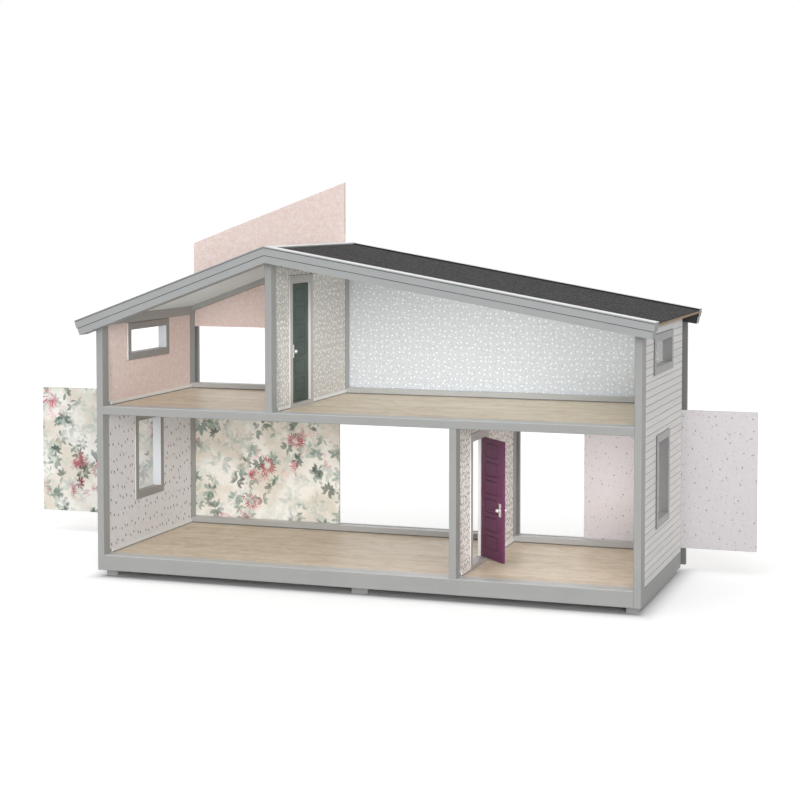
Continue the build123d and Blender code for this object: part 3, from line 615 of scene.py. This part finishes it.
# ---------------------------------------------------------------- camera, floor and light
AMBIENT = 0.42  # brightness of the surroundings as the house sees them; the camera sees white
FLOOR_GLOW = 0.38  # brightness added to the floor as the camera sees it
FLOOR_SHADE = (-12 * MM, 24 * MM)  # distances from the house over which that sets in; nearer, its lack is a painted shadow
SUNS = (
    # name, direction it comes from, strength, width in degrees
    ("front_light", (0.46, -1.0, 0.20), 0.63, 30),
    ("top_light", (-0.15, -0.35, 1.0), 0.30, 50),
    ("rear_light", (-0.40, 1.0, 0.45), 0.20, 60),
)
FILL_SETBACK = 3 * MM  # from the front edge of the floor
FILL_LIFT = 10 * MM  # from the floor
FILL_AWAY = (0.0, -1.0, -0.12)  # direction that the light in a room comes from
FILL_SPREAD = 105  # degrees
ROOM_FILLS = (
    # room, height in metres, strength
    ("upper_left", 0.09, 0.8),
    ("upper_right", 0.10, 1.45),
    ("lower_left", 0.13, 0.28),
    ("lower_right", 0.13, 1.5),
)


def make_camera():
    """A long-lens camera to the front right, just above the ridge and tilted 3 degrees down."""
    data = bpy.data.cameras.new("camera")
    camera = bpy.data.objects.new("camera", data)
    bpy.context.scene.collection.objects.link(camera)
    camera.location = (0.7569, -2.1788, 0.4688)
    camera.rotation_euler = (math.radians(87.0), 0.0, math.radians(18.905))
    data.sensor_width = 36.0
    data.lens = 81.55
    data.shift_y = -0.1203
    data.clip_end = 50.0
    bpy.context.scene.camera = camera


def make_floor():
    """A wide pale floor, seen paler than it lights the house, except under the house and close by,
    where the glow fades out as a painted shadow over the rendered one.
    """
    mesh = bpy.data.meshes.new("floor")
    work = bmesh.new()
    bmesh.ops.create_grid(work, x_segments=2, y_segments=2, size=30.0)
    work.to_mesh(mesh)
    work.free()
    floor = bpy.data.objects.new("floor", mesh)
    bpy.context.scene.collection.objects.link(floor)
    shader = Shader("floor_paper")
    fibre = shader.noise(shader.place, 6, 3)
    white = shader.mix(fibre, srgb(202, 202, 202), srgb(206, 206, 206))
    seen = shader.node("ShaderNodeLightPath").outputs["Is Camera Ray"]
    white = shader.mix(seen, white, srgb(232, 232, 232))
    sides = (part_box("left_base_rail")[0][0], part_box("right_base_rail")[1][0])
    ends = (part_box("front_base_rail")[0][1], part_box("rear_outer_frame")[1][1])
    away = beyond(shader, (shader.x, *sides), (shader.y, *ends))
    glow = shader.math("MULTIPLY", seen, shader.step(away, *FLOOR_SHADE, 0.0, FLOOR_GLOW))
    mesh.materials.append(shader.finish(white, 0.9, specular=0.0, glow=glow))


def soft_sun(name, toward, strength, spread):
    """A wide even light from one direction. strength is what it adds to a white face square to it,
    and spread is its width in degrees."""
    data = bpy.data.lights.new(name, "SUN")
    data.energy = strength * math.pi
    data.angle = math.radians(spread)
    light = bpy.data.objects.new(name, data)
    bpy.context.scene.collection.objects.link(light)
    light.rotation_mode = "QUATERNION"
    light.rotation_quaternion = Vector(toward).to_track_quat("Z", "Y")


def room_fill(room, height, strength):
    """A sheet of soft light across a room's open front, unseen, that shines into the room. strength
    is its brightness against white."""
    low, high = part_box(f"{room}_floor_sheet")
    data = bpy.data.lights.new(f"{room}_fill", "AREA")
    data.shape = "RECTANGLE"
    data.size = high[0] - low[0]
    data.size_y = height
    data.energy = strength * math.pi * data.size * data.size_y
    light = bpy.data.objects.new(f"{room}_fill", data)
    bpy.context.scene.collection.objects.link(light)
    light.location = ((low[0] + high[0]) / 2, low[1] - FILL_SETBACK, high[2] + height / 2 + FILL_LIFT)
    light.rotation_mode = "QUATERNION"
    light.rotation_quaternion = Vector(FILL_AWAY).to_track_quat("Z", "Y")
    data.spread = math.radians(FILL_SPREAD)
    light.visible_camera = False
    light.visible_glossy = False


def make_light():
    """White surroundings, wide lights from the front, from above and from behind, and a light in
    the open front of each room."""
    world = bpy.data.worlds.new("soft_light")
    bpy.context.scene.world = world
    world.use_nodes = True
    tree = Tree(world.node_tree)
    background = world.node_tree.nodes["Background"]
    background.inputs["Color"].default_value = (1.0, 1.0, 1.0, 1.0)
    seen = tree.node("ShaderNodeLightPath").outputs["Is Camera Ray"]
    tree.put(background.inputs["Strength"], tree.step(seen, 0.0, 1.0, AMBIENT, 1.0))
    for name, toward, strength, spread in SUNS:
        soft_sun(name, toward, strength, spread)
    for room, height, strength in ROOM_FILLS:
        room_fill(room, height, strength)
    bpy.context.scene.view_settings.view_transform = "Standard"


make_camera()
make_floor()
make_light()
